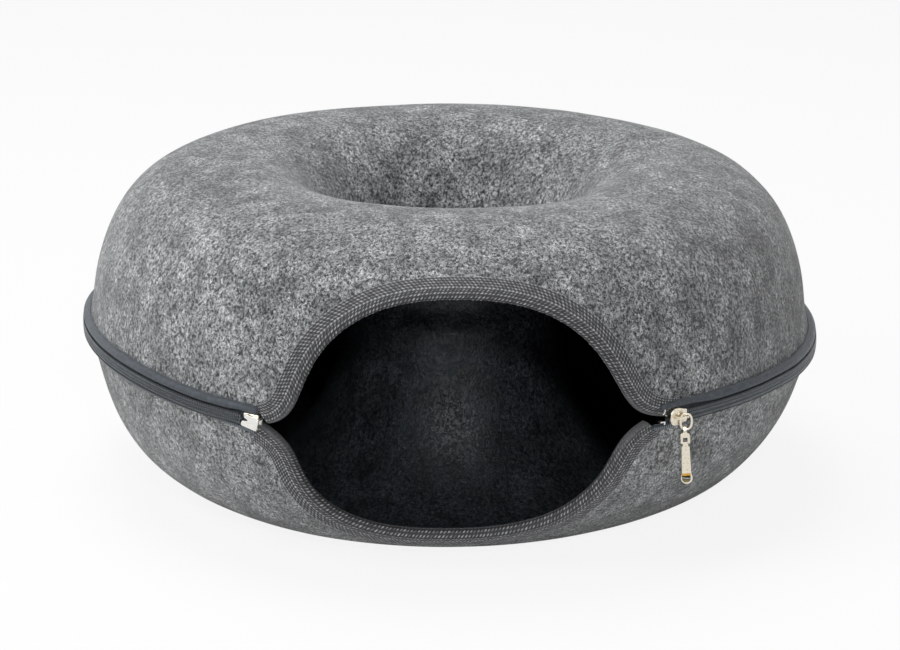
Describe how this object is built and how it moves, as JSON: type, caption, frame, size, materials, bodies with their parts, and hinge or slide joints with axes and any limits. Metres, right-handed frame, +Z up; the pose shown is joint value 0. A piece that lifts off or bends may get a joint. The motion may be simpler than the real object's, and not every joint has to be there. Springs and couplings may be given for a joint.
{
  "type": "donut cat tunnel",
  "caption": "Ring-shaped felt tunnel for a cat or other small pet, with a bound doorway in its side, a hole in the middle, and two halves that zip together round the outside and in the hole.",
  "frame": {"origin": "on the floor, at the middle of the overall width and depth; the ring's own axis is upright and stands 11.2 mm in front of it, at Y -0.0112", "axes": "+Z up; -Y out through the doorway; +X to the right seen from the doorway"},
  "size_m": [0.4994, 0.4766, 0.2199],
  "materials": {
    "grey_felt": "moulded, heathered wool-look felt",
    "grey_webbing": "woven binding tape folded over the edge",
    "navy_tape": "woven zip tape",
    "navy_nylon": "coil teeth, satin",
    "bright_nickel": "bright nickel plate"
  },
  "bodies": {
    "lower_half": {"lower_shell": "grey_felt", "lower_door_binding": "grey_webbing", "lower_zip_tape": "navy_tape", "lower_zip_teeth": "navy_nylon", "lower_top_stop": "bright_nickel", "retainer_box": "bright_nickel", "inner_lower_zip_tape": "navy_tape", "inner_lower_zip_teeth": "navy_nylon", "inner_lower_top_stop": "bright_nickel", "inner_retainer_box": "bright_nickel"},
    "upper_half": {"upper_shell": "grey_felt", "upper_door_binding": "grey_webbing", "upper_zip_tape": "navy_tape", "upper_zip_teeth": "navy_nylon", "upper_top_stop": "bright_nickel", "insert_pin": "bright_nickel", "inner_upper_zip_tape": "navy_tape", "inner_upper_zip_teeth": "navy_nylon", "inner_upper_top_stop": "bright_nickel", "inner_insert_pin": "bright_nickel"},
    "outer_slider": {"zip_slider": "bright_nickel"},
    "ring": {"pull_ring": "bright_nickel"},
    "pull": {"pull_tab": "bright_nickel"},
    "inner_slider": {"inner_zip_slider": "bright_nickel"},
    "inner_pull": {"inner_pull_loop": "bright_nickel"}
  },
  "joints": [
    {"name": "slider_travel", "type": "hinge", "parent": "lower_half", "child": "outer_slider", "pos_m": [0, -0.0112, 0.103], "axis": [0, 0, 1], "range_deg": [0, 291]},
    {"name": "ring_swing", "type": "hinge", "parent": "outer_slider", "child": "ring", "pos_m": [0.14282, -0.22057, 0.103], "axis": [-0.8329, -0.5534, 0], "range_deg": [0, 78]},
    {"name": "pull_swing", "type": "hinge", "parent": "ring", "child": "pull", "pos_m": [0.14282, -0.22057, 0.0951], "axis": [-0.9997, 0.0244, 0], "range_deg": [0, 90]},
    {"name": "inner_slider_travel", "type": "hinge", "parent": "lower_half", "child": "inner_slider", "pos_m": [0, -0.0112, 0.12], "axis": [0, 0, 1], "range_deg": [0, 335]},
    {"name": "inner_pull_swing", "type": "hinge", "parent": "inner_slider", "child": "inner_pull", "pos_m": [-0.00101, 0.0546, 0.12], "axis": [-1, 0, 0], "range_deg": [0, 80]},
    {"name": "upper_half_lift", "type": "slide", "parent": "lower_half", "child": "upper_half", "axis": [0, 0, 1], "range_m": [0, 0.25]}
  ]
}
